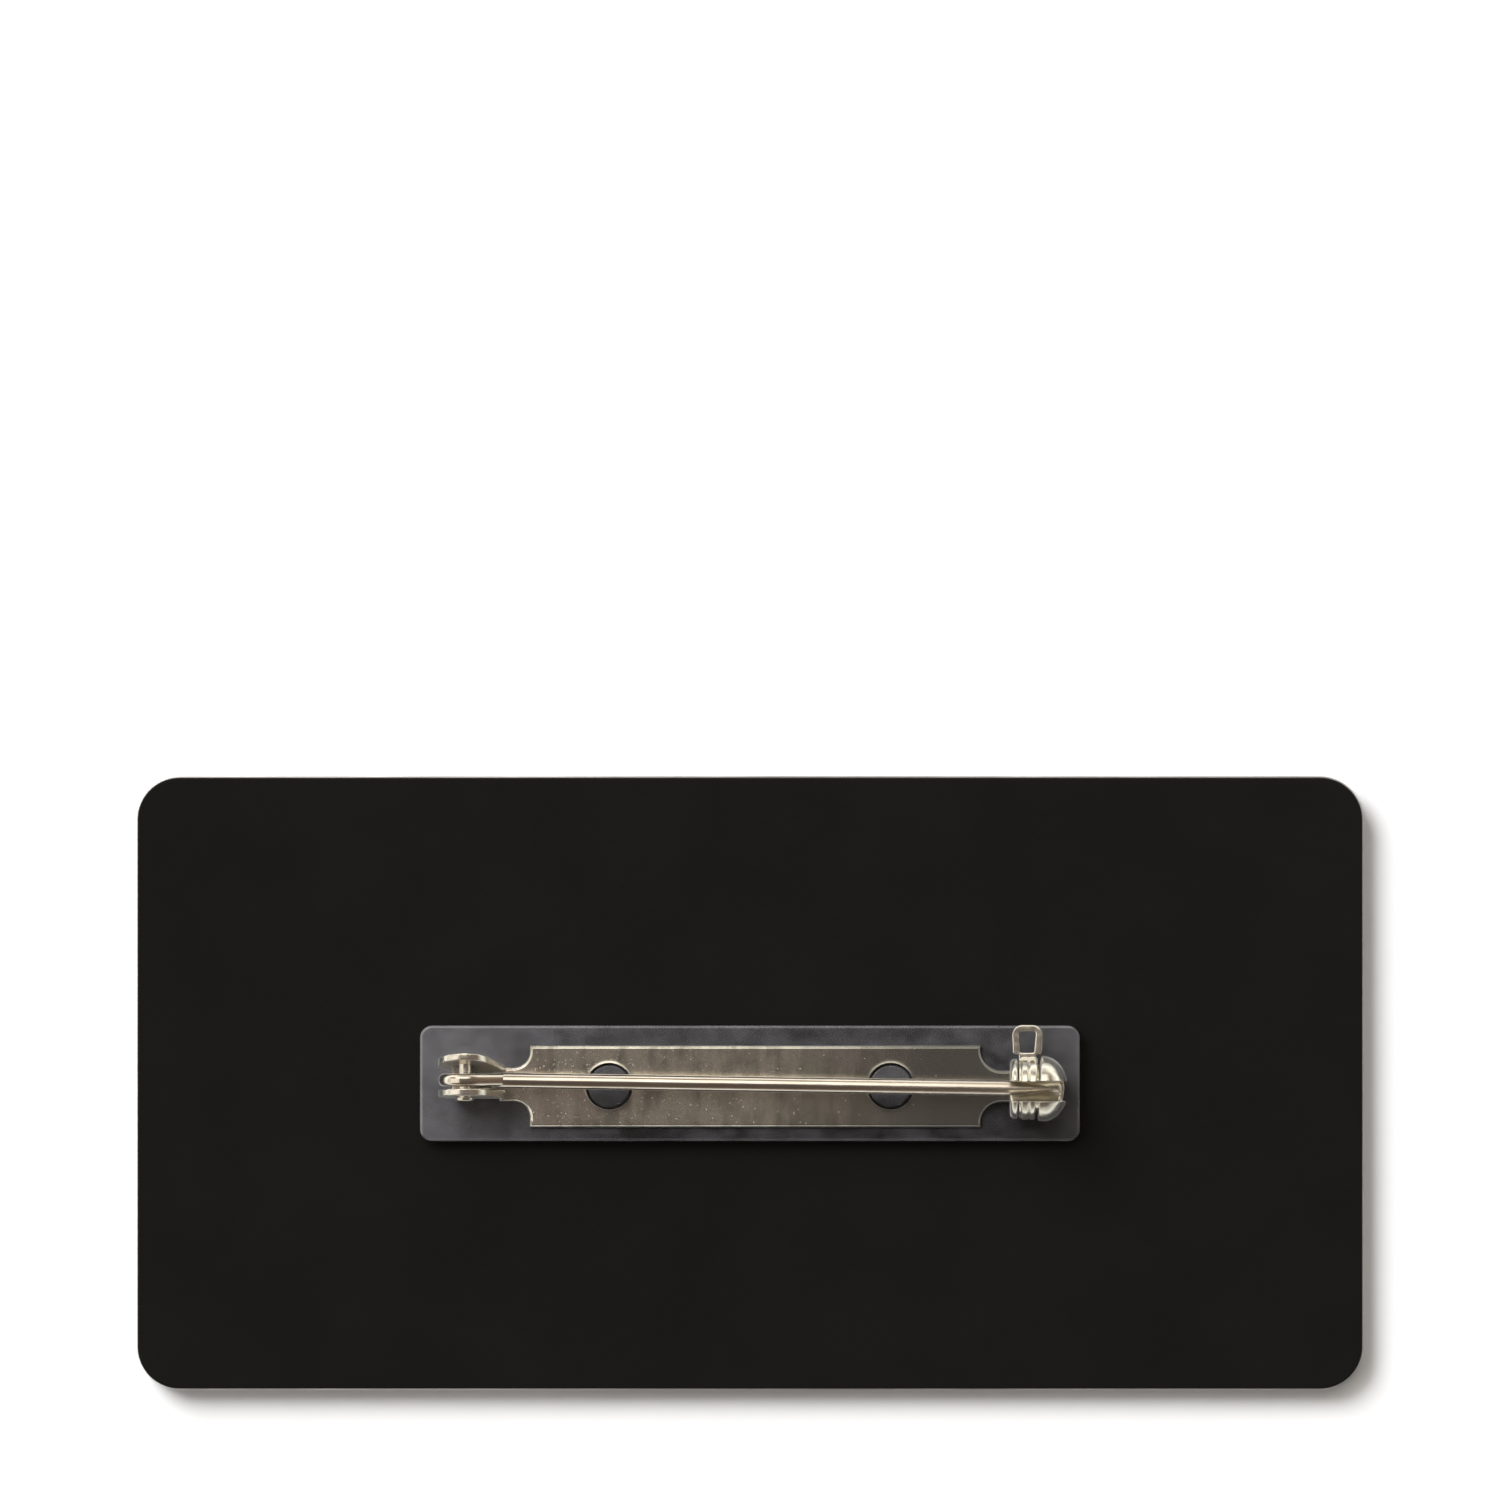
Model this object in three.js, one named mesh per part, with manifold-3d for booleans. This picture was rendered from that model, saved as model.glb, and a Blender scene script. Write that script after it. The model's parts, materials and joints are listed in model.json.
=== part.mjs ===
// Name badge with a bar pin on its back, in millimetres with +Z up.
// It lies face down: the brushed face is at z = 0 and the pin mechanism is on top.
// +X runs along the badge from the pin's hinge to its catch, and +Y across it.

import * as THREE from 'three';
import { mergeVertices } from 'three/addons/utils/BufferGeometryUtils.js';
import Module from 'manifold-3d';

const wasm = await Module();
wasm.setup();

// Plate: a brushed metal sheet bonded to a black plastic core
const PLATE_LENGTH = 76;
const PLATE_WIDTH = 38;
const PLATE_CORNER_RADIUS = 2.7;
const FACE_THICKNESS = 0.4;
const CORE_THICKNESS = 1.2;
const CORE_SETBACK = 0.1;

// Clear adhesive pad between the core and the pin, with a stud in each hole of the bar
const PAD_LENGTH = 40.8;
const PAD_WIDTH = 7.15;
const PAD_CORNER_RADIUS = 0.75;
const PAD_THICKNESS = 1;
const STUD_CLEARANCE = 0.1;
const STUD_RECESS = 0.1;

// Bar: one sheet of metal, stamped flat along its middle
const BAR_THICKNESS = 0.4;
const BAR_Y = -0.17;
const STRIP_LEFT_LENGTH = 13.6;
const STRIP_RIGHT_LENGTH = 14.25;
const STRIP_WIDTH = 5.05;
const HOLE_RADIUS = 1.45;
const HOLE_PITCH = 17.4;
const HINGE_NOTCH_RADIUS = 1;
const CATCH_NOTCH_RADIUS = 1.3;
const HINGE_NECK_LENGTH = 4;
const CATCH_NECK_LENGTH = 1.8;
const CATCH_NECK_WIDTH = 1.95;

// Hinge: two ears bent up from the neck, which lean across the bar, and a rivet
const FORK_Y = -0.05;
const FORK_WIDTH = 2.1;
const FORK_FLOOR_OVERHANG = 0.8;
const EAR_FOOT_LENGTH = 2.5;
const EAR_MARGIN = 0.05;
const UPPER_EAR_LEAN = 13;
const LOWER_EAR_LEAN = 6;
const RIVET_RADIUS = 0.4;
const RIVET_HEAD_RADIUS = 0.575;
const RIVET_HEAD_HEIGHT = 0.22;
const RIVET_HOLE_CLEARANCE = 0.05;
const RIVET_SEAT_CLEARANCE = 0.03;

// Needle: a wire flattened to an eye at the hinge and ground to a point at the catch
const WIRE_DIAMETER = 0.96;
const EYE_Y = 0.27;
const EYE_THICKNESS = 0.78;
const EYE_FLOOR_CLEARANCE = 0.3;
const EYE_HOLE_CLEARANCE = 0.08;
const EYE_TAPER_LENGTH = 2.2;
const WIRE_START = 0.55;
const POINT_LENGTH = 3.3;
const POINT_CLEARANCE = 0.33;

// Catch: a collar, a tube and a domed end, with one slot for the needle
const CATCH_Y = -0.28;
const CATCH_PAD_CLEARANCE = 0.15;
const COLLAR_WIDTH = 0.45;
const COLLAR_STEP = 0.05;
const RING_STEP = 0.1;
const RING_WIDTH = 0.25;
const DOME_LENGTH = 1.52;
const DOME_WALL = 0.4;
const TUBE_WALL = 0.4;
const SLOT_SIDE_CLEARANCE = 0.15;
const SLOT_OFFSET = 0.14;

// Lock sleeve: a slotted ring that turns on the tube, with a thumb loop
const SLEEVE_RADIUS = 1.9;
const SLEEVE_WALL = 0.38;
const SLEEVE_LENGTH = 1.08;
const SLEEVE_RIM_WIDTH = 0.16;
const SLEEVE_GROOVE_WIDTH = 0.1;
const SLEEVE_GROOVE_DEPTH = 0.1;
const SLEEVE_BORE_CLEARANCE = 0.07;
const SLEEVE_LEFT_GAP = 0.08;
const SLEEVE_RIGHT_GAP = 0.2;
const LOOP_REACH = 3.93;
const LOOP_WIDTH = 1.9;
const LOOP_STRIP = 0.48;
const LOOP_LEG = 0.2;
const LOOP_THICKNESS = 0.5;
const LOOP_CORNER_RADIUS = 0.7;
const LOOP_CLEARANCE = 0.12;
const LOOP_EDGE_INSET = 0.02;

// How finely round shapes are cut into flats
const ROUND_STEPS = 40;
const WIRE_STEPS = 16;
const CORNER_STEPS = 6;
const DOME_STEPS = 8;
const POINT_STEPS = 5;

// Heights worked out from the layers
const coreBottom = FACE_THICKNESS;
const padBottom = coreBottom + CORE_THICKNESS;
const padTop = padBottom + PAD_THICKNESS;
const barTop = padTop + BAR_THICKNESS;

// The needle, the hinge and the catch share one height, which keeps the dome off the pad
const ringRadius = SLEEVE_RADIUS + RING_STEP;
const axisZ = padTop + ringRadius + CATCH_PAD_CLEARANCE;

// Places along the bar
const stripLeft = -STRIP_LEFT_LENGTH;
const stripRight = STRIP_RIGHT_LENGTH;
const hingeX = stripLeft - HINGE_NECK_LENGTH;
const collarLeft = stripRight + CATCH_NECK_LENGTH;
const collarRight = collarLeft + COLLAR_WIDTH;
const sleeveLeft = collarRight + SLEEVE_LEFT_GAP;
const sleeveRight = sleeveLeft + SLEEVE_LENGTH;
const ringLeft = sleeveRight + SLEEVE_RIGHT_GAP;
const domeLeft = ringLeft + RING_WIDTH;
const domeRight = domeLeft + DOME_LENGTH;
const boreEnd = domeRight - DOME_WALL;

// Radii that fit inside one another
const sleeveBore = SLEEVE_RADIUS - SLEEVE_WALL;
const tubeRadius = sleeveBore - SLEEVE_BORE_CLEARANCE;
const boreRadius = tubeRadius - TUBE_WALL;
const collarRadius = SLEEVE_RADIUS - COLLAR_STEP;
const eyeRadius = axisZ - barTop - EYE_FLOOR_CLEARANCE;
const earRadius = eyeRadius + EAR_MARGIN;
const wireRadius = WIRE_DIAMETER / 2;
const slotWidth = WIRE_DIAMETER + 2 * SLOT_SIDE_CLEARANCE;
const slotY = CATCH_Y - SLOT_OFFSET;

// Turns a three.js geometry into a solid that can be joined and cut.
// Triangles that merging leaves flat on a lathe's axis are dropped.
function toSolid(geometry) {
  const bare = geometry.clone();
  bare.deleteAttribute('normal');
  bare.deleteAttribute('uv');
  const merged = mergeVertices(bare, 1e-4);
  const corners = merged.index.array;
  const kept = [];
  for (let i = 0; i < corners.length; i += 3) {
    const [a, b, c] = [corners[i], corners[i + 1], corners[i + 2]];
    if (a !== b && b !== c && c !== a) {
      kept.push(a, b, c);
    }
  }
  return new wasm.Manifold(new wasm.Mesh({
    numProp: 3,
    vertProperties: new Float32Array(merged.attributes.position.array),
    triVerts: new Uint32Array(kept),
  }));
}

function toGeometry(solid) {
  const mesh = solid.getMesh();
  const geometry = new THREE.BufferGeometry();
  geometry.setAttribute('position', new THREE.BufferAttribute(mesh.vertProperties, 3));
  geometry.setIndex(new THREE.BufferAttribute(mesh.triVerts, 1));
  geometry.computeVertexNormals();
  return geometry;
}

// Outlines in the plane of the badge are raised from a height
function raise(shape, bottom, height) {
  const geometry = new THREE.ExtrudeGeometry(shape, {
    depth: height,
    bevelEnabled: false,
    curveSegments: CORNER_STEPS,
  });
  return geometry.translate(0, 0, bottom);
}

// Outlines drawn as (x, z) become upright plates from y = 0 up to their thickness
function stand(shape, thickness) {
  const geometry = new THREE.ExtrudeGeometry(shape, {
    depth: thickness,
    bevelEnabled: false,
    curveSegments: ROUND_STEPS / 2,
  });
  return geometry.rotateX(Math.PI / 2).translate(0, thickness, 0);
}

// A profile of [x, radius] pairs is turned about a line along +X
function turnAboutX(profile, steps) {
  const points = profile.map(([x, radius]) => new THREE.Vector2(radius, x));
  return new THREE.LatheGeometry(points, steps).rotateZ(-Math.PI / 2);
}

function cylinderAlongY(radius, fromY, toY) {
  const geometry = new THREE.CylinderGeometry(radius, radius, toY - fromY, ROUND_STEPS);
  return geometry.translate(hingeX, (fromY + toY) / 2, axisZ);
}

function box(low, high) {
  const size = high.map((value, i) => value - low[i]);
  const middle = high.map((value, i) => (value + low[i]) / 2);
  return new THREE.BoxGeometry(...size).translate(...middle);
}

function roundedRectangle(length, width, radius) {
  const x = length / 2;
  const y = width / 2;
  const shape = new THREE.Shape();
  shape.moveTo(-x + radius, -y);
  shape.lineTo(x - radius, -y);
  shape.absarc(x - radius, -y + radius, radius, -Math.PI / 2, 0);
  shape.lineTo(x, y - radius);
  shape.absarc(x - radius, y - radius, radius, 0, Math.PI / 2);
  shape.lineTo(-x + radius, y);
  shape.absarc(-x + radius, y - radius, radius, Math.PI / 2, Math.PI);
  shape.lineTo(-x, -y + radius);
  shape.absarc(-x + radius, -y + radius, radius, Math.PI, Math.PI * 1.5);
  return shape;
}

function faceSheet() {
  return raise(roundedRectangle(PLATE_LENGTH, PLATE_WIDTH, PLATE_CORNER_RADIUS), 0, FACE_THICKNESS);
}

function backingCore() {
  const length = PLATE_LENGTH - 2 * CORE_SETBACK;
  const width = PLATE_WIDTH - 2 * CORE_SETBACK;
  const radius = PLATE_CORNER_RADIUS - CORE_SETBACK;
  return raise(roundedRectangle(length, width, radius), coreBottom, CORE_THICKNESS);
}

// The studs stand in the bar's holes and end a little below its top
function adhesivePad() {
  const outline = roundedRectangle(PAD_LENGTH, PAD_WIDTH, PAD_CORNER_RADIUS);
  let pad = toSolid(raise(outline, padBottom, PAD_THICKNESS));
  const studRadius = HOLE_RADIUS - STUD_CLEARANCE;
  const studHeight = PAD_THICKNESS + BAR_THICKNESS - STUD_RECESS;
  for (const side of [-1, 1]) {
    const stud = new THREE.CylinderGeometry(studRadius, studRadius, studHeight, ROUND_STEPS);
    stud.rotateX(Math.PI / 2);
    stud.translate(side * HOLE_PITCH / 2, BAR_Y, padBottom + studHeight / 2);
    pad = pad.add(toSolid(stud));
  }
  return toGeometry(pad);
}

// The flat outline: the strip, its two necks with rounded notches, and its holes
function barOutline() {
  const forkLow = FORK_Y - FORK_WIDTH / 2;
  const forkHigh = FORK_Y + FORK_WIDTH / 2;
  const neckLow = BAR_Y - CATCH_NECK_WIDTH / 2;
  const neckHigh = BAR_Y + CATCH_NECK_WIDTH / 2;
  const stripLow = BAR_Y - STRIP_WIDTH / 2;
  const stripHigh = BAR_Y + STRIP_WIDTH / 2;
  const leftX = stripLeft - HINGE_NOTCH_RADIUS;
  const rightX = stripRight + CATCH_NOTCH_RADIUS;
  const floorEnd = hingeX - FORK_FLOOR_OVERHANG;
  const shape = new THREE.Shape();
  shape.moveTo(floorEnd, forkLow);
  shape.lineTo(leftX, forkLow);
  shape.absarc(leftX, forkLow - HINGE_NOTCH_RADIUS, HINGE_NOTCH_RADIUS, Math.PI / 2, 0, true);
  shape.lineTo(stripLeft, stripLow);
  shape.lineTo(stripRight, stripLow);
  shape.lineTo(stripRight, neckLow - CATCH_NOTCH_RADIUS);
  shape.absarc(rightX, neckLow - CATCH_NOTCH_RADIUS, CATCH_NOTCH_RADIUS, Math.PI, Math.PI / 2, true);
  shape.lineTo(collarRight, neckLow);
  shape.lineTo(collarRight, neckHigh);
  shape.lineTo(rightX, neckHigh);
  shape.absarc(rightX, neckHigh + CATCH_NOTCH_RADIUS, CATCH_NOTCH_RADIUS, -Math.PI / 2, -Math.PI, true);
  shape.lineTo(stripRight, stripHigh);
  shape.lineTo(stripLeft, stripHigh);
  shape.lineTo(stripLeft, forkHigh + HINGE_NOTCH_RADIUS);
  shape.absarc(leftX, forkHigh + HINGE_NOTCH_RADIUS, HINGE_NOTCH_RADIUS, 0, -Math.PI / 2, true);
  shape.lineTo(floorEnd, forkHigh);
  return shape;
}

function barHoles() {
  const height = 3 * BAR_THICKNESS;
  const holes = [-1, 1].map((side) => {
    const hole = new THREE.CylinderGeometry(HOLE_RADIUS, HOLE_RADIUS, height, ROUND_STEPS);
    hole.rotateX(Math.PI / 2);
    return hole.translate(side * HOLE_PITCH / 2, BAR_Y, barTop - BAR_THICKNESS / 2);
  });
  return toSolid(holes[0]).add(toSolid(holes[1]));
}

// The direction from a circle's middle to where a line from a point outside touches it
function touchAngle(dx, dz, radius, side) {
  return Math.atan2(dz, dx) + side * Math.acos(radius / Math.hypot(dx, dz));
}

// An ear is round about the rivet and runs straight down to its foot on both sides
function ear(innerY, lean) {
  const footLeft = -FORK_FLOOR_OVERHANG;
  const footZ = barTop - axisZ;
  const leftAngle = touchAngle(footLeft, footZ, earRadius, -1) + 2 * Math.PI;
  const rightAngle = touchAngle(EAR_FOOT_LENGTH, footZ, earRadius, 1);
  const shape = new THREE.Shape();
  shape.moveTo(footLeft, padTop - axisZ);
  shape.lineTo(footLeft, footZ);
  shape.absarc(0, 0, earRadius, leftAngle, rightAngle, true);
  shape.lineTo(EAR_FOOT_LENGTH, footZ);
  shape.lineTo(EAR_FOOT_LENGTH, padTop - axisZ);
  const geometry = stand(shape, BAR_THICKNESS).translate(hingeX, innerY, axisZ);
  const slope = Math.tan(THREE.MathUtils.degToRad(lean));
  const places = geometry.attributes.position;
  for (let i = 0; i < places.count; i += 1) {
    places.setY(i, places.getY(i) + slope * (places.getZ(i) - padTop));
  }
  return toSolid(geometry);
}

// Where the outer face of each ear stands at the height of the rivet
const rise = axisZ - padTop;
const upperSeatY = FORK_Y + FORK_WIDTH / 2 + rise * Math.tan(THREE.MathUtils.degToRad(UPPER_EAR_LEAN));
const lowerSeatY = FORK_Y - FORK_WIDTH / 2 + rise * Math.tan(THREE.MathUtils.degToRad(LOWER_EAR_LEAN));

// The rivet's hole runs through both ears, and each head has a flat seat on its ear
function rivetCut() {
  const holeRadius = RIVET_RADIUS + RIVET_HOLE_CLEARANCE;
  const seatRadius = RIVET_HEAD_RADIUS + RIVET_HOLE_CLEARANCE;
  const reach = RIVET_HEAD_HEIGHT + BAR_THICKNESS;
  const hole = toSolid(cylinderAlongY(holeRadius, lowerSeatY - reach, upperSeatY + reach));
  const upperSeat = toSolid(cylinderAlongY(seatRadius, upperSeatY, upperSeatY + reach));
  const lowerSeat = toSolid(cylinderAlongY(seatRadius, lowerSeatY - reach, lowerSeatY));
  return hole.add(upperSeat).add(lowerSeat);
}

// Quarter of an ellipse from the ring to the tip of the dome, as [x, radius] pairs
function domeProfile(left, right, radius) {
  const profile = [];
  for (let i = 1; i <= DOME_STEPS; i += 1) {
    const angle = Math.PI / 2 * (1 - i / DOME_STEPS);
    const across = i === DOME_STEPS ? 0 : radius * Math.sin(angle);
    profile.push([left + (right - left) * Math.cos(angle), across]);
  }
  return profile;
}

function catchBarrel() {
  const profile = [
    [collarLeft, boreRadius],
    [collarLeft, collarRadius],
    [collarRight, collarRadius],
    [collarRight, tubeRadius],
    [ringLeft, tubeRadius],
    [ringLeft, ringRadius],
    [domeLeft, ringRadius],
    ...domeProfile(domeLeft, domeRight, ringRadius),
    [boreEnd, 0],
    [boreEnd, boreRadius],
    [collarLeft, boreRadius],
  ];
  return toSolid(turnAboutX(profile, ROUND_STEPS).translate(0, CATCH_Y, axisZ));
}

// The slot is open upwards from the axis, so that the needle can swing out
function catchSlot(fromX, toX) {
  const top = axisZ + ringRadius + LOOP_THICKNESS;
  return toSolid(box([fromX, slotY - slotWidth / 2, axisZ], [toX, slotY + slotWidth / 2, top]));
}

// The collar stands on a foot at the end of the neck
function catchFoot() {
  const low = [collarLeft, BAR_Y - CATCH_NECK_WIDTH / 2, padTop];
  const high = [collarRight, BAR_Y + CATCH_NECK_WIDTH / 2, axisZ - (collarRadius + boreRadius) / 2];
  return toSolid(box(low, high));
}

function pinBar() {
  const strip = toSolid(raise(barOutline(), padTop, BAR_THICKNESS)).subtract(barHoles());
  const upperEar = ear(FORK_Y + FORK_WIDTH / 2 - BAR_THICKNESS, UPPER_EAR_LEAN);
  const lowerEar = ear(FORK_Y - FORK_WIDTH / 2, LOWER_EAR_LEAN);
  const fork = upperEar.add(lowerEar).subtract(rivetCut());
  const barrel = catchBarrel().subtract(catchSlot(collarLeft - COLLAR_WIDTH, boreEnd));
  return toGeometry(strip.add(fork).add(catchFoot()).add(barrel));
}

function hingeRivet() {
  const lowFace = lowerSeatY - RIVET_SEAT_CLEARANCE;
  const highFace = upperSeatY + RIVET_SEAT_CLEARANCE;
  const sunk = RIVET_HEAD_HEIGHT / 2;
  const shaft = toSolid(cylinderAlongY(RIVET_RADIUS, lowFace - sunk, highFace + sunk));
  const lowHead = toSolid(cylinderAlongY(RIVET_HEAD_RADIUS, lowFace - RIVET_HEAD_HEIGHT, lowFace));
  const highHead = toSolid(cylinderAlongY(RIVET_HEAD_RADIUS, highFace, highFace + RIVET_HEAD_HEIGHT));
  return toGeometry(shaft.add(lowHead).add(highHead));
}

// The flattened eye, drawn about the rivet's axis, with a taper towards the wire
function needleEye() {
  const touch = touchAngle(EYE_TAPER_LENGTH, 0, eyeRadius, 1);
  const shape = new THREE.Shape();
  shape.moveTo(EYE_TAPER_LENGTH, 0);
  shape.absarc(0, 0, eyeRadius, touch, 2 * Math.PI - touch);
  const eye = toSolid(stand(shape, EYE_THICKNESS).translate(hingeX, EYE_Y - EYE_THICKNESS / 2, axisZ));
  const holeRadius = RIVET_RADIUS + EYE_HOLE_CLEARANCE;
  return eye.subtract(toSolid(cylinderAlongY(holeRadius, EYE_Y - EYE_THICKNESS, EYE_Y + EYE_THICKNESS)));
}

// The wire runs from the eye to the middle of the catch, so it lies a little askew
function needleWire() {
  const tipX = boreEnd - POINT_CLEARANCE;
  const run = Math.hypot(tipX - hingeX, CATCH_Y - EYE_Y);
  const pointStart = run - POINT_LENGTH;
  const profile = [[WIRE_START, 0], [WIRE_START, wireRadius], [pointStart, wireRadius]];
  for (let i = 1; i <= POINT_STEPS; i += 1) {
    const share = i / POINT_STEPS;
    const across = i === POINT_STEPS ? 0 : wireRadius * (1 - share ** 2);
    profile.push([pointStart + POINT_LENGTH * share, across]);
  }
  const wire = turnAboutX(profile, WIRE_STEPS);
  wire.rotateZ(Math.atan2(CATCH_Y - EYE_Y, tipX - hingeX));
  return toSolid(wire.translate(hingeX, EYE_Y, axisZ));
}

function pinWire() {
  return toGeometry(needleEye().add(needleWire()));
}

// The sleeve's ring: a low rim and two ribs with a groove between them
function sleeveRing() {
  const rimRadius = SLEEVE_RADIUS - SLEEVE_GROOVE_DEPTH;
  const rimRight = sleeveLeft + SLEEVE_RIM_WIDTH;
  const grooveLeft = (rimRight + sleeveRight - SLEEVE_GROOVE_WIDTH) / 2;
  const grooveRight = grooveLeft + SLEEVE_GROOVE_WIDTH;
  const profile = [
    [sleeveLeft, sleeveBore],
    [sleeveLeft, rimRadius],
    [rimRight, rimRadius],
    [rimRight, SLEEVE_RADIUS],
    [grooveLeft, SLEEVE_RADIUS],
    [(grooveLeft + grooveRight) / 2, rimRadius],
    [grooveRight, SLEEVE_RADIUS],
    [sleeveRight, SLEEVE_RADIUS],
    [sleeveRight, sleeveBore],
    [sleeveLeft, sleeveBore],
  ];
  return toSolid(turnAboutX(profile, ROUND_STEPS).translate(0, CATCH_Y, axisZ));
}

// The thumb loop widens once it is past the collar and the ring.
// It is drawn as (x, distance from the axis) about the sleeve's middle.
function thumbLoop() {
  const rootHalf = SLEEVE_LENGTH / 2 - LOOP_EDGE_INSET;
  const half = LOOP_WIDTH / 2;
  const root = (SLEEVE_RADIUS + sleeveBore) / 2;
  const shoulder = ringRadius + LOOP_CLEARANCE;
  const corner = LOOP_REACH - LOOP_CORNER_RADIUS;
  const innerHalf = half - LOOP_STRIP;
  const innerRadius = LOOP_CORNER_RADIUS - LOOP_STRIP;
  const waist = shoulder + LOOP_STRIP;
  const shape = new THREE.Shape();
  shape.moveTo(rootHalf, root);
  shape.lineTo(rootHalf, shoulder);
  shape.quadraticCurveTo(half, shoulder, half, waist);
  shape.lineTo(half, corner);
  shape.absarc(half - LOOP_CORNER_RADIUS, corner, LOOP_CORNER_RADIUS, 0, Math.PI / 2);
  shape.absarc(LOOP_CORNER_RADIUS - half, corner, LOOP_CORNER_RADIUS, Math.PI / 2, Math.PI);
  shape.lineTo(-half, waist);
  shape.quadraticCurveTo(-half, shoulder, -rootHalf, shoulder);
  shape.lineTo(-rootHalf, root);
  shape.lineTo(LOOP_LEG - rootHalf, root);
  shape.lineTo(LOOP_LEG - rootHalf, waist);
  shape.quadraticCurveTo(-innerHalf, waist, -innerHalf, waist + LOOP_LEG);
  shape.absarc(innerRadius - innerHalf, corner, innerRadius, Math.PI, Math.PI / 2, true);
  shape.absarc(innerHalf - innerRadius, corner, innerRadius, Math.PI / 2, 0, true);
  shape.lineTo(innerHalf, waist + LOOP_LEG);
  shape.quadraticCurveTo(innerHalf, waist, rootHalf - LOOP_LEG, waist);
  shape.lineTo(rootHalf - LOOP_LEG, root);
  const loop = raise(shape, axisZ - LOOP_THICKNESS / 2, LOOP_THICKNESS);
  return toSolid(loop.translate((sleeveLeft + sleeveRight) / 2, CATCH_Y, 0));
}

function lockSleeve() {
  const ring = sleeveRing().subtract(catchSlot(sleeveLeft - SLEEVE_LENGTH, sleeveRight + SLEEVE_LENGTH));
  return toGeometry(ring.add(thumbLoop()));
}

const brushedMetal = new THREE.MeshStandardMaterial({ color: 0xc9c7c3, roughness: 0.38, metalness: 1 });
const blackPlastic = new THREE.MeshStandardMaterial({ color: 0x1c1b19, roughness: 0.6, metalness: 0 });
const clearAdhesive = new THREE.MeshStandardMaterial({
  color: 0x5b5a5b,
  roughness: 0.15,
  metalness: 0,
  transparent: true,
  opacity: 0.6,
});
const nickelPlate = new THREE.MeshStandardMaterial({ color: 0xb9b2a6, roughness: 0.25, metalness: 1 });
const pinSteel = new THREE.MeshStandardMaterial({ color: 0xc4bdb2, roughness: 0.18, metalness: 1 });

function piece(name, geometry, material) {
  const mesh = new THREE.Mesh(geometry, material);
  mesh.name = name;
  return mesh;
}

const badge = new THREE.Group();
badge.add(
  piece('face_sheet', faceSheet(), brushedMetal),
  piece('backing_core', backingCore(), blackPlastic),
  piece('adhesive_pad', adhesivePad(), clearAdhesive),
  piece('pin_bar', pinBar(), nickelPlate),
  piece('hinge_rivet', hingeRivet(), nickelPlate),
  piece('pin_wire', pinWire(), pinSteel),
  piece('lock_sleeve', lockSleeve(), nickelPlate),
);

export default badge;
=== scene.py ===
import json
import math

import bmesh
import bpy
from mathutils import Matrix, Vector


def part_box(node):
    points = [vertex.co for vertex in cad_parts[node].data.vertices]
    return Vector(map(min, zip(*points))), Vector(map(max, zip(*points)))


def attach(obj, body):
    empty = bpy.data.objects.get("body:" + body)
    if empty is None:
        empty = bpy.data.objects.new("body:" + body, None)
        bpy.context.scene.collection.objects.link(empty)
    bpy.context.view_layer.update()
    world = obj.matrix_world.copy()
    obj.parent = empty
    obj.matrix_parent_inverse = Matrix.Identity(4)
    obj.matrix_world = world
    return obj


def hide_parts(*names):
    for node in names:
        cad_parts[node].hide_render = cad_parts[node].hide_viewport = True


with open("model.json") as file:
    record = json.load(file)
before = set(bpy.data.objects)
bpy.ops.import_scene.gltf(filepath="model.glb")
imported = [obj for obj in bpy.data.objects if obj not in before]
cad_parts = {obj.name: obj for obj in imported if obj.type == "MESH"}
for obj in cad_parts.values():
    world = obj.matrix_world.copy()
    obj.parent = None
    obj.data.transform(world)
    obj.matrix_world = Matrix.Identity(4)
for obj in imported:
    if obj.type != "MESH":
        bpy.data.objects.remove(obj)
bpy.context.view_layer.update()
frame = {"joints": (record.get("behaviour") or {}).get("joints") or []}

# The looks of a name badge that lies face down with its bar pin on top. Shapes are built in
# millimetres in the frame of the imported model, and turned into metres when they are done.

MM = 0.001


def node_box(node):
    """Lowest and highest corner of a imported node, in millimetres."""
    low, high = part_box(node)
    return low / MM, high / MM


def joint_place(name):
    """A point on a joint's axis, in millimetres."""
    joint = next(j for j in frame["joints"] if j["name"] == name)
    return Vector(joint["pos_m"]) / MM


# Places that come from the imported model
plate_low, plate_high = node_box("face_sheet")
core_low, core_high = node_box("backing_core")
pad_low, pad_high = node_box("adhesive_pad")
bar_low, bar_high = node_box("pin_bar")
needle_high = node_box("pin_wire")[1]
sleeve_low = node_box("lock_sleeve")[0]
hinge = joint_place("needle_hinge")
catch = joint_place("lock_turn")

# Plate and pad
PLATE_CORNER = 2.7
PAD_CORNER = 0.75
FACE_EDGE = 0.07
CORE_EDGE = 0.12
PAD_EDGE = 0.16
STUD_RADIUS = 1.35
STUD_DEPTH = 0.1
PIT_PLACE = (0.52, -1.0)
PIT_RADIUS = 0.16
PIT_DEPTH = 0.07

# Bar
SHEET = 0.4
STRIP_WIDTH = 5.05
STRIP_LEFT = -13.6
STRIP_RIGHT = 14.25
BAR_EDGE = 0.2
BAR_EDGE_SHAPE = 0.35
HOLE_RADIUS = 1.45
HOLE_PITCH = 17.4
HOLE_LIP_HEIGHT = 0.08
HOLE_LIP_WIDTH = 0.3
HOLE_LIP_CREST = 0.03
HOLE_LIP_SINK = 0.005
HINGE_NOTCH = 1.0
CATCH_NOTCH = 1.3
NECK_WIDTH = 1.95

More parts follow.
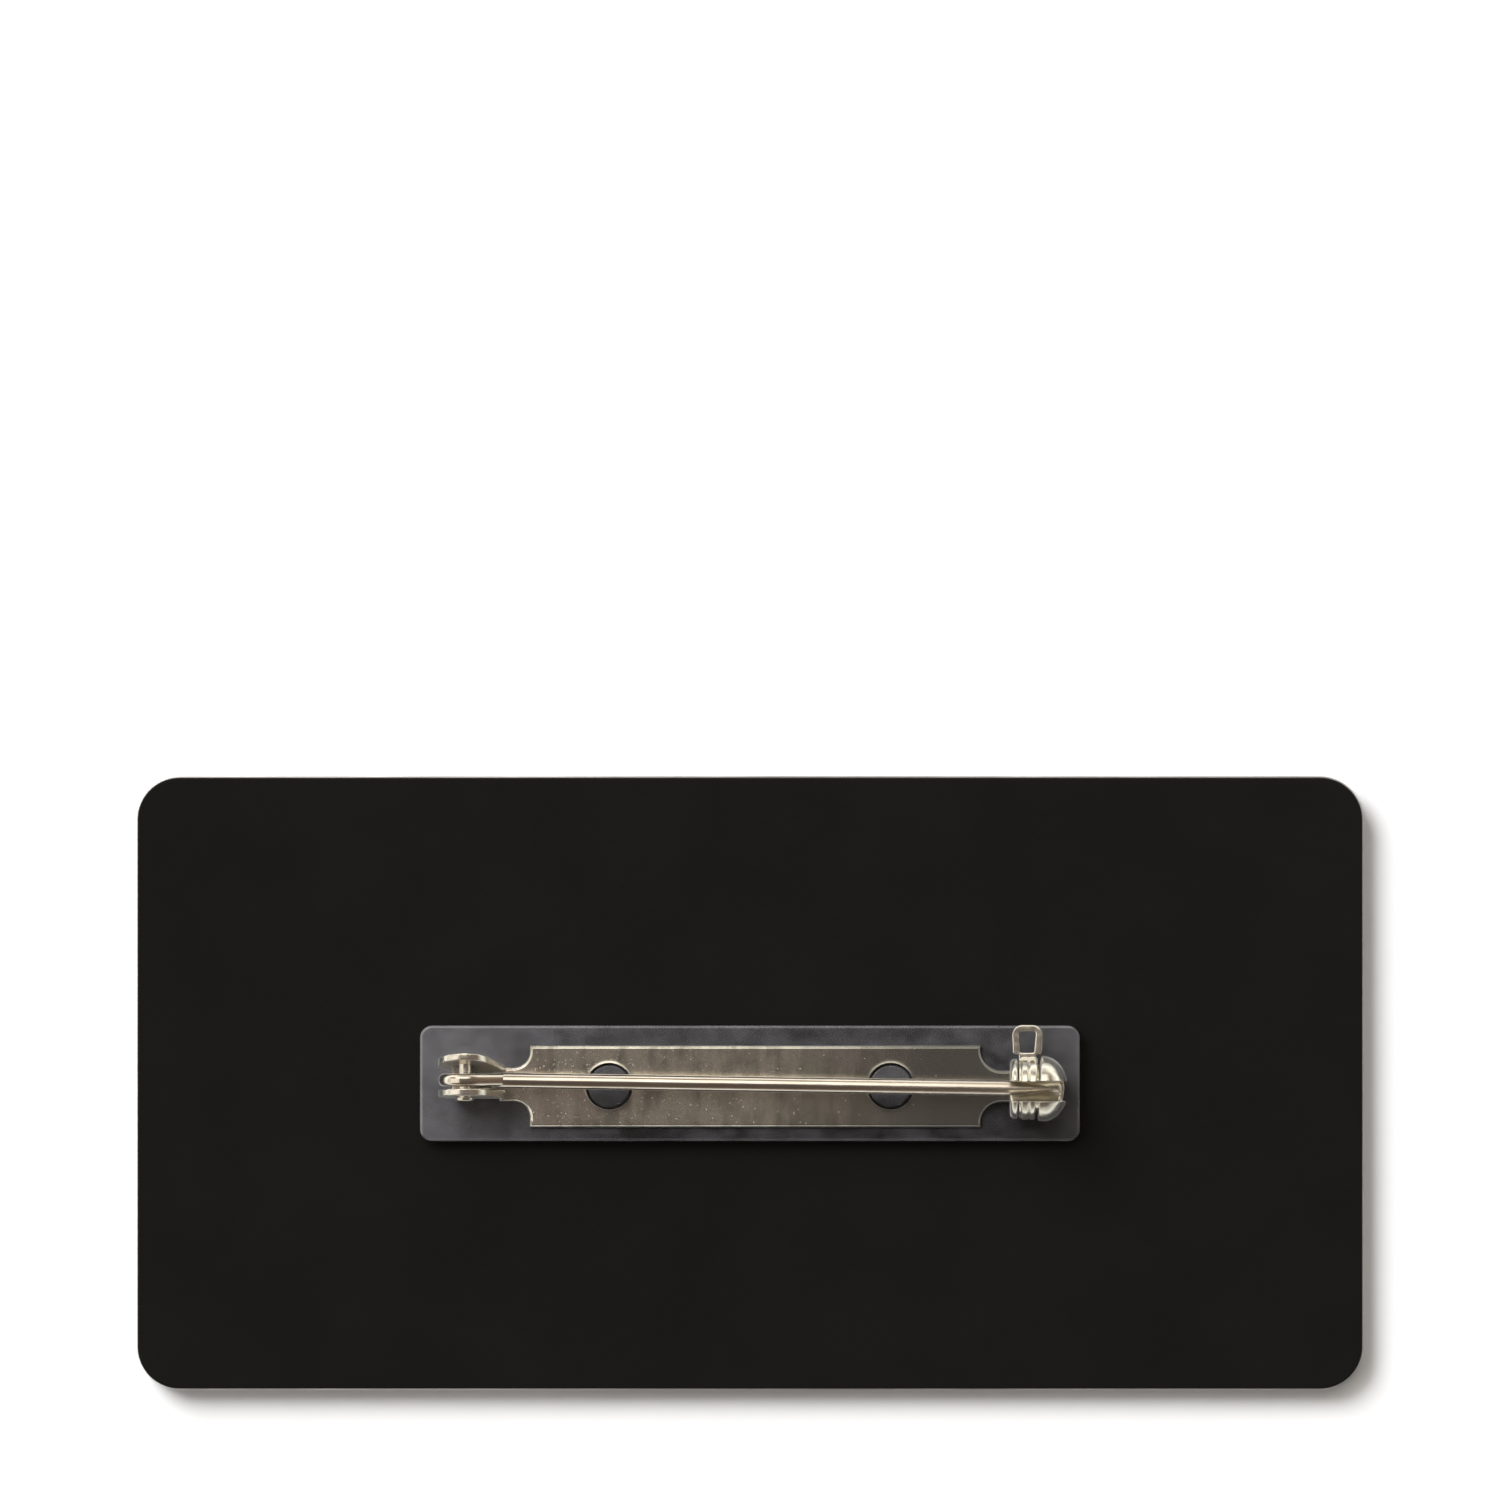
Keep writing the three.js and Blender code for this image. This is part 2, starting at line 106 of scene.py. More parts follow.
# Hinge fork
FORK_NECK_LOW = -1.1
FORK_LOW = -0.97
FORK_HIGH = 1.0
FLOOR_OVERHANG = 0.8
EAR_FOOT = 2.5
EAR_RADIUS = 1.62
UPPER_LEAN = math.tan(math.radians(14))
LOWER_LEAN = math.tan(math.radians(5))
BEND_RADIUS = 0.4
RIVET_RADIUS = 0.4
RIVET_HEAD_RADIUS = 0.575
RIVET_HEAD_HEIGHT = 0.22
RIVET_HEAD_GAP = 0.03
RIVET_HEAD_EDGE = 0.12
RIVET_HEAD_FOOT_EDGE = 0.04
RIVET_CLEARANCE = 0.05

# Needle
WIRE_RADIUS = 0.48
WIRE_START = 0.55
WIRE_START_EDGE = 0.16
POINT_LENGTH = 3.3
EYE_RADIUS = 1.6
EYE_THICKNESS = 0.78
EYE_EDGE = 0.3
EYE_HOLE = 0.48
EYE_TAPER = 3.2

# Catch
RING_RADIUS = 2.0
RING_WIDTH = 0.25
RING_EDGE = 0.08
COLLAR_RADIUS = 1.85
COLLAR_WIDTH = 0.45
COLLAR_EDGE = 0.3
COLLAR_BACK_EDGE = 0.1
TUBE_RADIUS = 1.45
BORE_RADIUS = 1.05
BORE_MOUTH_EDGE = 0.14
BORE_END_EDGE = 0.1
DOME_LENGTH = 1.52
DOME_WALL = 0.4
NOSE_NOTCH = 1.0
NOSE_OVERLAP = 0.1
SLOT_WIDTH = 1.26
SLOT_OFFSET = 0.14

# Lock sleeve and its thumb loop
SLEEVE_RADIUS = 1.9
SLEEVE_BORE = 1.52
SLEEVE_GAP = 0.08
SLEEVE_LENGTH = 1.08
SLEEVE_RIM = 0.16
SLEEVE_EDGE = 0.05
SLEEVE_END_EDGE = 0.1
RIB_EDGE = 0.09
GROOVE_WIDTH = 0.12
GROOVE_DEPTH = 0.12
GROOVE_EXTRA = 0.03
GROOVE_EDGE = 0.08
LOOP_REACH = 3.93
LOOP_HALF = 0.95
LOOP_STRIP = 0.4
LOOP_TOP = 0.36
LOOP_THICKNESS = 0.5
LOOP_EDGE = 0.15
LOOP_ROOT_INSET = 0.02
LOOP_SHOULDER = 0.12
LOOP_TAPER = 0.06
LOOP_SILL = 0.1
LOOP_NECK_CORNER = 0.04
LOOP_SHOULDER_CORNER = 0.12
LOOP_TOP_CORNER = 0.6
WINDOW_LEFT_TAPER = 0.08
WINDOW_RIGHT_TAPER = 0.14
WINDOW_SILL_CORNER = 0.1
WINDOW_TOP_CORNER = 0.2

# How far the ring's and the sleeve's end faces lean, and which points belong to such a face
END_SLANT = 0.055
END_REACH = 0.13
RING_CLEARANCE = 0.05

# Meshing: voxels in millimetres, rounds of smoothing, steps round a circle, angles in degrees
SHEET_VOXEL = 0.046
SHEET_ROUNDS = 3
SLEEVE_VOXEL = 0.035
SLEEVE_ROUNDS = 4
EYE_VOXEL = 0.04
EYE_ROUNDS = 5
ROUND_STEPS = 96
FINE_STEPS = 128
SMALL_STEPS = 64
PIT_STEPS = 24
EAR_STEPS = 48
DOME_STEPS = 24
POINT_STEPS = 16
CORNER_STEPS = 20
NOTCH_STEPS = 16
FLAT_ANGLE = 0.1
BEVEL_ANGLE = 60
SHARP_ANGLE = 35
BAR_SHARP_ANGLE = 60
SAME_HEIGHT = 0.01
ON_AXIS = 1e-6
OVERCUT = 1.0

# Colours, as linear red, green, blue and alpha
DEEP_BLACK = (0.0055, 0.0052, 0.0049, 1)
SOFT_BLACK = (0.0063, 0.006, 0.0057, 1)
CLEAR_GREY = (0.42, 0.42, 0.455, 1)
NICKEL_GREENISH = (0.65, 0.64, 0.52, 1)
NICKEL_PINKISH = (0.75, 0.65, 0.57, 1)
NICKEL_STAINED = (0.42, 0.4, 0.32, 1)
NICKEL_BRIGHT = (0.88, 0.83, 0.71, 1)
NICKEL_PAINTED_DARK_REFLECTION = (0.2, 0.19, 0.16, 1)
NICKEL_SPECK_GLINT = (0.9, 0.86, 0.78, 1)
STEEL_DARKER = (0.69, 0.61, 0.51, 1)
STEEL_LIGHTER = (0.83, 0.75, 0.64, 1)
FLOOR_DARKER = (0.88, 0.9, 0.93, 1)
FLOOR_LIGHTER = (0.91, 0.93, 0.96, 1)
PANEL_LIGHT = (1.5, 1.48, 1.4, 1)

# The brushed face's colour along its length, from 0 at the hinge's end to 1 at the catch's: a painted
# reflection, bright at the hinge's end, dark past the middle and grey at the catch's end
FACE_PAINTED_REFLECTION = [
    (0.0, (0.8, 0.795, 0.79)),
    (0.2, (0.77, 0.765, 0.76)),
    (0.54, (0.39, 0.385, 0.375)),
    (0.76, (0.515, 0.51, 0.5)),
    (1.0, (0.445, 0.44, 0.43)),
]

# The sky's light, from 0 at the horizon to 1 overhead
SKY_HEIGHTS = [
    (0.0, (2.3, 2.3, 2.15)),
    (0.2, (0.95, 0.95, 0.9)),
    (0.5, (0.235, 0.165, 0.115)),
    (1.0, (0.205, 0.17, 0.15)),
]

# Haze in the pad and painted light in it, where they lie and how strong they are there: more haze near the
# hinge and towards the top side is painted light from the upper left, and more haze near the catch is
# painted light over the shade there
PAINTED_LIGHT_HINGE_REACH = 14
PAINTED_LIGHT_AT_HINGE = 0.7
PAINTED_LIGHT_CATCH_REACH = 3
PAINTED_LIGHT_AT_CATCH = 0.45
PAINTED_LIGHT_AT_TOP_SIDE = 0.3
STUD_HAZE_FROM = 0.02
STUD_HAZE_TO = 0.1
STUD_HAZE = 0.25
CUT_EDGE_WIDTH = 0.2
CUT_EDGE_HAZE = 0.5

# Heights over the strip between which metal goes from flat to raised
RAISED_FROM = 0.05
RAISED_TO = 0.3

# The range that most of a noise lies in
NOISE_LOW = 0.3
NOISE_HIGH = 0.7

# Floor and key light
FLOOR_HALF = 4000
FLOOR_TOP = -0.02
FLOOR_BOTTOM = -5
TOWARDS_SUN = (-0.88, 0.88, 1)

# The photograph: its width in pixels, the badge's middle there, and its length in pixels
PHOTO_WIDTH = 1500
BADGE_PIXEL_X = 749.9
BADGE_PIXEL_Y = 1083.2
BADGE_PIXELS_LONG = 1228

# Places along the bar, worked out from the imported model
bar_top = pad_high.z + STUD_DEPTH
bar_middle_y = bar_low.y + STRIP_WIDTH / 2
collar_left = sleeve_low.x + LOOP_HALF - SLEEVE_LENGTH / 2 - SLEEVE_GAP - COLLAR_WIDTH
collar_right = collar_left + COLLAR_WIDTH


# Meshes


def mesh_object(name, points, faces):
    """A closed mesh with its faces pointing out."""
    mesh = bpy.data.meshes.new(name)
    mesh.from_pydata(points, [], faces)
    shell = bmesh.new()
    shell.from_mesh(mesh)
    bmesh.ops.recalc_face_normals(shell, faces=shell.faces)
    shell.to_mesh(mesh)
    shell.free()
    made = bpy.data.objects.new(name, mesh)
    bpy.context.scene.collection.objects.link(made)
    return made


def settle(piece):
    """Applies the piece's modifiers to its mesh."""
    graph = bpy.context.evaluated_depsgraph_get()
    mesh = bpy.data.meshes.new_from_object(piece.evaluated_get(graph))
    old = piece.data
    piece.modifiers.clear()
    piece.data = mesh
    bpy.data.meshes.remove(old)
    return piece


def combine(piece, tool, operation):
    """Joins or cuts the piece with a tool, which goes away."""
    piece.modifiers.new("plain_faces", "TRIANGULATE")
    change = piece.modifiers.new("combine", "BOOLEAN")
    change.operation = operation
    change.object = tool
    change.solver = "EXACT"
    merge = piece.modifiers.new("merge_flat_faces", "DECIMATE")
    merge.decimate_type = "DISSOLVE"
    merge.angle_limit = math.radians(FLAT_ANGLE)
    settle(piece)
    bpy.data.objects.remove(tool)
    return piece


def bevel(piece, width, segments):
    """Rounds the sharp edges."""
    change = piece.modifiers.new("bevel", "BEVEL")
    change.width = width
    change.segments = segments
    change.limit_method = "ANGLE"
    change.angle_limit = math.radians(BEVEL_ANGLE)
    return settle(piece)


def roll_over(piece, height, width, segments):
    """Rolls over only the edges round the face at a height, as a punch leaves them."""
    mesh = piece.data
    weights = mesh.attributes.new("bevel_weight_edge", "FLOAT", "EDGE")
    for edge in mesh.edges:
        ends = [mesh.vertices[v].co.z for v in edge.vertices]
        weights.data[edge.index].value = float(min(ends) > height - SAME_HEIGHT)
    change = piece.modifiers.new("roll_over", "BEVEL")
    change.width = width
    change.segments = segments
    change.profile = BAR_EDGE_SHAPE
    change.limit_method = "WEIGHT"
    return settle(piece)


def soften(piece, voxel, rounds):
    """Remeshes the piece evenly and smooths it, which rounds its edges like plated sheet metal."""
    remesh = piece.modifiers.new("remesh", "REMESH")
    remesh.mode = "VOXEL"
    remesh.voxel_size = voxel
    smooth = piece.modifiers.new("smooth", "SMOOTH")
    smooth.factor = 0.5
    smooth.iterations = rounds
    return settle(piece)


def arc(x, y, radius, start, end, steps):
    """Points on an arc, from one angle to another in degrees."""
    angles = [math.radians(start + (end - start) * i / steps) for i in range(steps + 1)]
    return [(x + radius * math.cos(a), y + radius * math.sin(a)) for a in angles]


def rounded(corners, steps=8):
    """An outline from corners (x, y, radius), each rounded to its radius."""
    outline = []
    count = len(corners)
    for i, (x, y, radius) in enumerate(corners):
        here = Vector((x, y))
        if radius == 0:
            outline.append((x, y))
            continue
        before = (Vector(corners[i - 1][:2]) - here).normalized()
        after = (Vector(corners[(i + 1) % count][:2]) - here).normalized()
        half = before.angle(after) / 2
        reach = radius / math.tan(half)
        middle = here + (before + after).normalized() * radius / math.sin(half)
        start = here + before * reach - middle
        turn = math.pi - 2 * half
        side = 1 if before.cross(after) < 0 else -1
        for step in range(steps + 1):
            spin = Matrix.Rotation(side * turn * step / steps, 2)
            outline.append(tuple(middle + spin @ start))
    return outline


def prism(name, outline, low, high):
    """An outline in the plane of the badge, raised between two heights."""
    count = len(outline)
    points = [(x, y, z) for z in (low, high) for x, y in outline]
    sides = [(i, (i + 1) % count, count + (i + 1) % count, count + i) for i in range(count)]
    bottom = tuple(reversed(range(count)))
    top = tuple(range(count, 2 * count))
    return mesh_object(name, points, [bottom, top, *sides])


def turned(name, profile, steps):
    """A closed profile of (x, radius) points, turned about the line along +X."""
    points, rings = [], []
    for x, radius in profile:
        if radius < ON_AXIS:
            rings.append([len(points)] * steps)
            points.append((x, 0, 0))
            continue
        rings.append(list(range(len(points), len(points) + steps)))
        for i in range(steps):
            angle = 2 * math.pi * i / steps
            points.append((x, radius * math.cos(angle), radius * math.sin(angle)))
    faces = []
    for k, ring in enumerate(rings):
        following = rings[(k + 1) % len(rings)]
        for i in range(steps):
            j = (i + 1) % steps
            corners = [ring[i], following[i], following[j], ring[j]]
            face = list(dict.fromkeys(corners))
            if len(face) > 2:
                faces.append(face)
    return mesh_object(name, points, faces)


# A prism that stands up: its outline is then (x, z), and its height runs along -Y
STAND = Matrix.Rotation(math.radians(90), 4, "X")
# A prism that runs along +X: its outline is then (y, z)
ALONG_X = Matrix(((0, 0, 1, 0), (1, 0, 0, 0), (0, 1, 0, 0), (0, 0, 0, 1)))
# A turned shape that runs along +Y
ALONG_Y = Matrix.Rotation(math.radians(90), 4, "Z")
# A turned shape that runs along +Z
UPRIGHT = Matrix.Rotation(math.radians(-90), 4, "Y")


def placed(piece, turn):
    """Turns the piece's mesh."""
    piece.data.transform(turn)
    return piece


def move(piece, place):
    """Moves the piece's mesh."""
    piece.data.transform(Matrix.Translation(place))
    return piece


def plain_box(low, high):
    (x0, y0, z0), (x1, y1, z1) = low, high
    return prism("box", [(x0, y0), (x1, y0), (x1, y1), (x0, y1)], z0, z1)


def upright_cylinder(x, y, radius, low, high):
    last_angle = 360 - 360 / ROUND_STEPS
    return prism("cylinder", arc(x, y, radius, 0, last_angle, ROUND_STEPS - 1), low, high)


def cross_cylinder(radius, low_y, high_y):
    """A cylinder on the rivet's axis."""
    profile = [(low_y, 0), (low_y, radius), (high_y, radius), (high_y, 0)]
    cylinder = placed(turned("cylinder", profile, ROUND_STEPS), ALONG_Y)
    return move(cylinder, (hinge.x, 0, hinge.z))


def rectangle(low, high, corner):
    """The outline of a box from above, with rounded corners."""
    corners = [(low.x, low.y), (high.x, low.y), (high.x, high.y), (low.x, high.y)]
    return rounded([(x, y, corner) for x, y in corners], CORNER_STEPS)


def dress(piece, body, node, material, sharp_angle=SHARP_ANGLE):
    """Gives the finished piece its size in metres, material and body."""
    piece.data.transform(Matrix.Scale(MM, 4))
    piece.data.materials.clear()
    piece.data.materials.append(material)
    piece.data.shade_smooth()
    piece.data.set_sharp_from_angle(angle=math.radians(sharp_angle))
    even = piece.modifiers.new("even", "WEIGHTED_NORMAL")
    even.keep_sharp = True
    settle(piece)
    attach(piece, body)
    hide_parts(node)
    return piece


# Shader nodes


def new_material(name):
    """A material with its node tree and its shader."""
    made = bpy.data.materials.new(name)
    made.use_nodes = True
    return made, made.node_tree, made.node_tree.nodes["Principled BSDF"]


def fill(tree, made, **inputs):
    """Sets or links a node's inputs, by name or as i0, i1 and so on."""
    for key, value in inputs.items():
        number = key[1:]
        socket = made.inputs[int(number) if number.isdigit() else key.replace("_", " ")]
        if isinstance(value, bpy.types.NodeSocket):
            tree.links.new(value, socket)
        else:
            socket.default_value = value


def node(tree, kind, settings=None, **inputs):
    """Adds a node, sets its properties and fills its inputs."""
    made = tree.nodes.new(kind)
    for key, value in (settings or {}).items():
        setattr(made, key, value)
    fill(tree, made, **inputs)
    return made


def place_in_mm(tree, stretch=(1, 1, 1)):
    """The place on the piece in millimetres, stretched along the axes."""
    coordinates = node(tree, "ShaderNodeTexCoord")
    scale = [value / MM for value in stretch]
    mapped = node(tree, "ShaderNodeMapping", Vector=coordinates.outputs["Object"], Scale=scale)
    return mapped.outputs["Vector"]


def axes(tree, place):
    """The three parts of a place."""
    parts = node(tree, "ShaderNodeSeparateXYZ", Vector=place)
    return parts.outputs["X"], parts.outputs["Y"], parts.outputs["Z"]


def noise(tree, place, size, detail=3.0, roughness=0.5):
    """Noise with grains of a size in millimetres."""
    made = node(
        tree, "ShaderNodeTexNoise",
        Vector=place, Scale=1 / size, Detail=detail, Roughness=roughness,
    )
    return made.outputs["Fac"]


def spread(tree, value, low, high, to_low=0.0, to_high=1.0):
    """Maps a value from one range to another, clamped."""
    made = node(
        tree, "ShaderNodeMapRange",
        Value=value, From_Min=low, From_Max=high, To_Min=to_low, To_Max=to_high,
    )
    return made.outputs["Result"]


def math_node(tree, operation, first, second=0.0):
    return node(tree, "ShaderNodeMath", {"operation": operation}, i0=first, i1=second).outputs[0]


def add(tree, total, *others):
    for other in others:
        total = math_node(tree, "ADD", total, other)
    return total


def multiply(tree, first, second):
    return math_node(tree, "MULTIPLY", first, second)


def blend(tree, factor, first, second, kind="MIX"):
    """Mixes two colours, or multiplies or adds them."""
    settings = {"data_type": "RGBA", "blend_type": kind}
    return node(tree, "ShaderNodeMix", settings, i0=factor, i6=first, i7=second).outputs[2]


def ramp(tree, value, stops):
    """Colours at places from 0 to 1, with soft changes between them."""
    made = node(tree, "ShaderNodeValToRGB", Fac=value)
    made.color_ramp.interpolation = "EASE"
    elements = made.color_ramp.elements
    while len(elements) < len(stops):
        elements.new(1.0)
    for element, (place, colour) in zip(elements, stops):
        element.position = place
        element.color = (*colour, 1)
    return made.outputs["Color"]


def near_ends(tree, value, low, high, width):
    """1 at the two ends of a range and 0 from a width inside them."""
    middle = (low + high) / 2
    away = math_node(tree, "ABSOLUTE", math_node(tree, "SUBTRACT", value, middle))
    return spread(tree, away, high - middle - width, high - middle - width / 2)


def band(tree, value, low, high, soft):
    """1 between low and high and 0 outside, with soft edges."""
    smooth = {"interpolation_type": "SMOOTHSTEP"}
    up = node(tree, "ShaderNodeMapRange", smooth, Value=value, From_Min=low - soft, From_Max=low + soft)
    down = node(tree, "ShaderNodeMapRange", smooth, Value=value, From_Min=high + soft, From_Max=high - soft)
    return multiply(tree, up.outputs["Result"], down.outputs["Result"])


def relief(tree, shader, height, depth):
    """Raises the surface by a height from 0 to 1, times a depth in millimetres."""
    bump = node(tree, "ShaderNodeBump", Height=height, Distance=depth * MM, Strength=1.0)
    tree.links.new(bump.outputs["Normal"], shader.inputs["Normal"])


# Materials


def brushed_metal():
    """Brushed along its length, with a painted reflection along it: a bright end, a dark zone past the
    middle and a grey end.
    """
    made, tree, shader = new_material("brushed_metal")
    drawn_out = place_in_mm(tree, (0.013, 1, 1))
    fine = noise(tree, drawn_out, size=0.045, roughness=0.6)
    broad = noise(tree, drawn_out, size=0.25)
    streak = add(tree, fine, multiply(tree, broad, 0.3))
    x = axes(tree, place_in_mm(tree))[0]
    # painted reflection: the face's colour goes bright, dark and grey along its length
    painted_reflection = ramp(tree, spread(tree, x, plate_low.x, plate_high.x), FACE_PAINTED_REFLECTION)
    shades = spread(tree, streak, 0.5, 0.8, 0.72, 1.28)
    fill(
        tree, shader, Metallic=1.0,
        Base_Color=blend(tree, 1.0, painted_reflection, shades, "MULTIPLY"),
        Roughness=spread(tree, streak, 0.5, 0.8, 0.42, 0.26),
    )
    relief(tree, shader, streak, 0.006)
    return made


def black_plastic():
    """Dull black with a fine grain and faint clouds."""
    made, tree, shader = new_material("black_plastic")
    place = place_in_mm(tree)
    grain = noise(tree, place, size=0.12, detail=2.0)
    cloud = noise(tree, place, size=6.0)
    fill(
        tree, shader, Specular_IOR_Level=0.1,
        Base_Color=blend(tree, spread(tree, cloud, 0.35, 0.65), DEEP_BLACK, SOFT_BLACK),
        Roughness=spread(tree, grain, NOISE_LOW, NOISE_HIGH, 0.5, 0.62),
    )
    relief(tree, shader, grain, 0.004)
    return made


def pad_haze_and_painted_light(tree, place, smear):
    """Haze in the studs, along the cut edges and in patches, and painted light as more haze near the hinge,
    towards the top side and near the catch.
    """
    x, y, z = axes(tree, place)
    top = bar_top - SHEET
    ends = near_ends(tree, x, pad_low.x, pad_high.x, CUT_EDGE_WIDTH)
    sides = near_ends(tree, y, pad_low.y, pad_high.y, CUT_EDGE_WIDTH)
    cloud = noise(tree, place, size=2.2, detail=4.0, roughness=0.6)
    mottled = add(tree, cloud, multiply(tree, smear, 0.3))
    return add(
        tree,
        # painted light: more haze near the hinge, towards the top side and near the catch, for light from
        # the upper left and over the shade by the catch
        spread(tree, x, pad_low.x, pad_low.x + PAINTED_LIGHT_HINGE_REACH, PAINTED_LIGHT_AT_HINGE, 0.0),
        spread(tree, x, pad_high.x - PAINTED_LIGHT_CATCH_REACH, pad_high.x, 0.0, PAINTED_LIGHT_AT_CATCH),
        spread(tree, y, pad_low.y, pad_high.y, 0.0, PAINTED_LIGHT_AT_TOP_SIDE),
        spread(tree, z, top + STUD_HAZE_FROM, top + STUD_HAZE_TO, 0.0, STUD_HAZE),
        multiply(tree, math_node(tree, "MAXIMUM", ends, sides), CUT_EDGE_HAZE),
        spread(tree, mottled, 0.5, 0.8, -0.08, 0.36),
    )


def clear_adhesive():
    """Clear and a little hazy, with soft smears along its length, and painted light as more haze towards
    the upper left and near the catch.
    """
    made, tree, shader = new_material("clear_adhesive")
    place = place_in_mm(tree)
    smear = noise(tree, place_in_mm(tree, (0.7, 1, 1)), size=0.9, detail=2.0)
    haze_and_painted_light = pad_haze_and_painted_light(tree, place, smear)
    fill(
        tree, shader, IOR=1.46, Base_Color=CLEAR_GREY,
        Transmission_Weight=spread(tree, haze_and_painted_light, 0.0, 1.4, 0.97, 0.7),
        Roughness=spread(tree, smear, 0.35, 0.65, 0.14, 0.22),
    )
    relief(tree, shader, smear, 0.005)
    return made


def nickel_colour(tree, place, cloud, hinge_side, raised, painted_dark_reflection):
    """Pinker towards the hinge as a painted warmer reflection, stained, with bright bands and a painted
    highlight on what stands above the strip, and a painted darker reflection on the strip's far end.
    """
    stain = noise(tree, place, size=3.0, detail=5.0, roughness=0.65)
    bands = noise(tree, place_in_mm(tree, (1, 0.3, 1)), size=1.3)
    # painted reflection: the tint goes pinker towards the hinge
    tint = add(tree, spread(tree, cloud, NOISE_LOW, NOISE_HIGH, -0.25, 0.25), hinge_side)
    clean = blend(tree, tint, NICKEL_GREENISH, NICKEL_PINKISH)
    stained = blend(tree, spread(tree, stain, 0.42, 0.58), clean, NICKEL_STAINED)
    banded = spread(tree, bands, 0.45, 0.6, 0.0, 0.8)
    # painted highlight: what stands above the strip is lighter, and the bands are bright tone
    bright = math_node(tree, "MAXIMUM", banded, multiply(tree, raised, 0.7))
    polished_and_painted_highlight = blend(tree, bright, stained, NICKEL_BRIGHT)
    return blend(tree, painted_dark_reflection, polished_and_painted_highlight, NICKEL_PAINTED_DARK_REFLECTION)


def nickel_specks(tree, place, cloud, hinge_side):
    """Small specks, closest together at the hinge."""
    dots = noise(tree, place, size=0.14, detail=1.0)
    threshold = spread(tree, hinge_side, 0.0, 1.0, 0.92, 0.78)
    return spread(tree, add(tree, dots, multiply(tree, cloud, 0.25)), threshold, 1.0)


def nickel_height(tree, place, grain, speck, raised, flat):
    """Grain, scratches and specks on the flat strip, and dents in all that stands above it."""
    scratches = noise(tree, place_in_mm(tree, (0.25, 1, 1)), size=0.08, detail=2.0, roughness=0.6)
    dents = noise(tree, place, size=0.55, detail=0.0)
    worn = add(tree, multiply(tree, grain, 0.15), multiply(tree, scratches, 0.2))
    bumps = multiply(tree, add(tree, worn, multiply(tree, speck, 0.6)), flat)
    return add(tree, bumps, multiply(tree, multiply(tree, raised, dents), 4.0))


def nickel_plate():
    """Warm worn nickel: flat on the strip with a painted darker reflection towards its far end, dented
    where it is bent and turned.
    """
    made, tree, shader = new_material("nickel_plate")
    place = place_in_mm(tree)
    x, _, z = axes(tree, place)
    raised = spread(tree, z, bar_top + RAISED_FROM, bar_top + RAISED_TO)
    flat = math_node(tree, "SUBTRACT", 1.0, raised)
    # towards the hinge: a painted warmer reflection in the tint, and more specks
    hinge_side = spread(tree, x, bar_low.x, STRIP_RIGHT / 2, 1.0, 0.0)
    # painted darker reflection on the flat strip towards its far end
    painted_dark_reflection = multiply(tree, spread(tree, x, 0.0, STRIP_RIGHT * 0.8), flat)
    cloud = noise(tree, place, size=1.6, detail=4.0, roughness=0.6)
    grain = noise(tree, place, size=0.2, detail=2.0)
    speck = multiply(tree, nickel_specks(tree, place, cloud, hinge_side), flat)
    colour = nickel_colour(tree, place, cloud, hinge_side, raised, painted_dark_reflection)
    dull = spread(tree, grain, NOISE_LOW, NOISE_HIGH, 0.16, 0.22)
    fill(
        tree, shader, Metallic=1.0, Coat_Weight=1.0, Coat_Roughness=0.6, Coat_IOR=1.6,
        Sheen_Weight=0.4, Sheen_Roughness=0.45,
        # the specks are pits and scratches with a painted glint in their bright colour
        Base_Color=blend(tree, speck, colour, NICKEL_SPECK_GLINT),
        Roughness=add(tree, dull, multiply(tree, speck, 0.5), multiply(tree, raised, 0.05)),
    )
    relief(tree, shader, nickel_height(tree, place, grain, speck, raised, flat), 0.01)
    return made


def pin_steel():
    """Polished wire with drawing marks, duller towards its point."""
    made, tree, shader = new_material("pin_steel")
    drawn = noise(tree, place_in_mm(tree, (0.03, 1, 1)), size=0.07, detail=4.0, roughness=0.6)
    cloud = noise(tree, place_in_mm(tree, (0.3, 1, 1)), size=1.2, roughness=0.6)
    x = axes(tree, place_in_mm(tree))[0]
    mottled = spread(tree, cloud, NOISE_LOW, NOISE_HIGH)
    worn = spread(tree, x, 2.0, STRIP_RIGHT, 0.0, 0.16)
    fill(
        tree, shader, Metallic=1.0, Coat_Weight=1.0, Coat_Roughness=0.6, Coat_IOR=1.4,
        Sheen_Weight=0.7, Sheen_Roughness=0.3,
        Base_Color=blend(tree, mottled, STEEL_DARKER, STEEL_LIGHTER),
        Roughness=add(tree, spread(tree, drawn, NOISE_LOW, NOISE_HIGH, 0.1, 0.19), worn),
    )
    relief(tree, shader, drawn, 0.003)
    return made


# Plate and pad


def make_face_sheet(material):
    outline = rectangle(plate_low, plate_high, PLATE_CORNER)
    sheet = prism("face_sheet_brushed", outline, plate_low.z, plate_high.z)
    bevel(sheet, FACE_EDGE, 3)
    dress(sheet, "badge", "face_sheet", material)


def make_core(material):
    corner = PLATE_CORNER - (core_low.x - plate_low.x)
    core = prism("backing_core_black", rectangle(core_low, core_high, corner), core_low.z, core_high.z)
    bevel(core, CORE_EDGE, 4)
    dress(core, "badge", "backing_core", material)


def hole_places():
    return [(-HOLE_PITCH / 2, bar_middle_y), (HOLE_PITCH / 2, bar_middle_y)]


def make_pit(x, y):
    """A small cone that cuts a pit into the top of a stud at (x, y)."""
    profile = [(-PIT_DEPTH, 0), (PIT_DEPTH, PIT_RADIUS * 2), (PIT_DEPTH, 0)]
    pit = placed(turned("pit", profile, PIT_STEPS), UPRIGHT)
    return move(pit, (x + PIT_PLACE[0], y + PIT_PLACE[1], pad_high.z))


